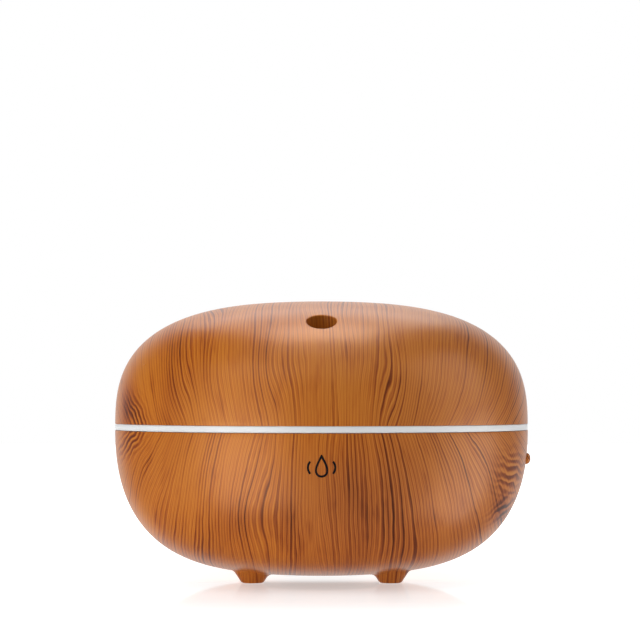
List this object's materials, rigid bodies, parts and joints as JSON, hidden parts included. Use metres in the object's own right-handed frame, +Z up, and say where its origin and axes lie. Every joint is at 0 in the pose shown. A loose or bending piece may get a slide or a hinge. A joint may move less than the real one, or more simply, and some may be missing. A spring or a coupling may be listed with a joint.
{
  "type": "essential oil diffuser",
  "caption": "Low pebble-shaped ultrasonic aroma diffuser with a wood-grain lift-off cover, a slanted mist outlet, a frosted light ring round its waist and stub feet.",
  "frame": {"origin": "on the table, on the turning axis of the shells", "axes": "+Z up; -Y is the front, where the mist comes out; +X is the user's right seen from the front, where the buttons are"},
  "size_m": [0.1711, 0.17, 0.1133],
  "materials": {
    "wood_print": "satin lacquer over a printed wood grain",
    "frosted_acrylic": "frosted, lets light through",
    "white_plastic": "moulded white polypropylene",
    "brown_plastic": "moulded brown plastic",
    "black_plastic": "moulded black plastic",
    "silicone": "milky silicone rubber",
    "circuit_board": "green solder mask",
    "steel": "zinc plated",
    "aluminium": "extruded, plain",
    "copper": "copper windings and a bronze bearing",
    "ceramic_disc": "piezo ceramic with a silvered face",
    "lamp": "clear lens over phosphor",
    "lead_cover": "PVC insulation"
  },
  "bodies": {
    "base": {"lower_shell": "wood_print", "light_ring": "frosted_acrylic", "water_tank": "white_plastic", "air_hood": "white_plastic", "lead_socket": "white_plastic", "base_plate": "brown_plastic", "fan_frame": "black_plastic", "capacitor": "black_plastic", "driver_transistor": "black_plastic", "dc_jack": "black_plastic", "mist_switch": "black_plastic", "light_switch": "black_plastic", "tank_gasket": "silicone", "disc_gasket": "silicone", "foot_pad_1": "silicone", "foot_pad_2": "silicone", "foot_pad_3": "silicone", "foot_pad_4": "silicone", "driver_board": "circuit_board", "led_board": "circuit_board", "button_board": "circuit_board", "clamp_screw_1": "steel", "clamp_screw_2": "steel", "clamp_screw_3": "steel", "disc_clamp": "steel", "shell_screw_1": "steel", "shell_screw_2": "steel", "shell_screw_3": "steel", "shell_screw_4": "steel", "plate_screw_1": "steel", "plate_screw_2": "steel", "board_screw_1": "steel", "board_screw_2": "steel", "heat_sink": "aluminium", "fan_bearing": "copper", "fan_stator": "copper", "driver_coil": "copper", "ultrasonic_disc": "ceramic_disc", "led_1": "lamp", "led_2": "lamp", "led_3": "lamp", "led_4": "lamp", "led_5": "lamp", "led_6": "lamp", "disc_lead": "lead_cover", "fan_lead": "lead_cover", "led_lead": "lead_cover", "button_lead": "lead_cover"},
    "cover": {"top_cover": "wood_print", "inner_cover": "white_plastic", "outlet_seal": "silicone", "liner_screw_1": "steel", "liner_screw_2": "steel", "liner_screw_3": "steel"},
    "fan_rotor": {"fan_rotor": "black_plastic", "fan_shaft": "steel"},
    "mist_button": {"mist_button": "wood_print"},
    "light_button": {"light_button": "wood_print"}
  },
  "joints": [
    {"name": "cover_lift", "type": "slide", "parent": "base", "child": "cover", "axis": [0, 0, 1], "range_m": [0, 0.09]},
    {"name": "fan_spin", "type": "hinge", "parent": "base", "child": "fan_rotor", "pos_m": [0, 0, 0.0115], "axis": [0, 0, 1], "continuous": true},
    {"name": "mist_press", "type": "slide", "parent": "base", "child": "mist_button", "axis": [-1, 0, 0], "range_m": [0, 0.0008], "stiffness_N_per_m": 300, "springref_m": -0.001},
    {"name": "light_press", "type": "slide", "parent": "base", "child": "light_button", "axis": [-1, 0, 0], "range_m": [0, 0.0008], "stiffness_N_per_m": 300, "springref_m": -0.001}
  ]
}
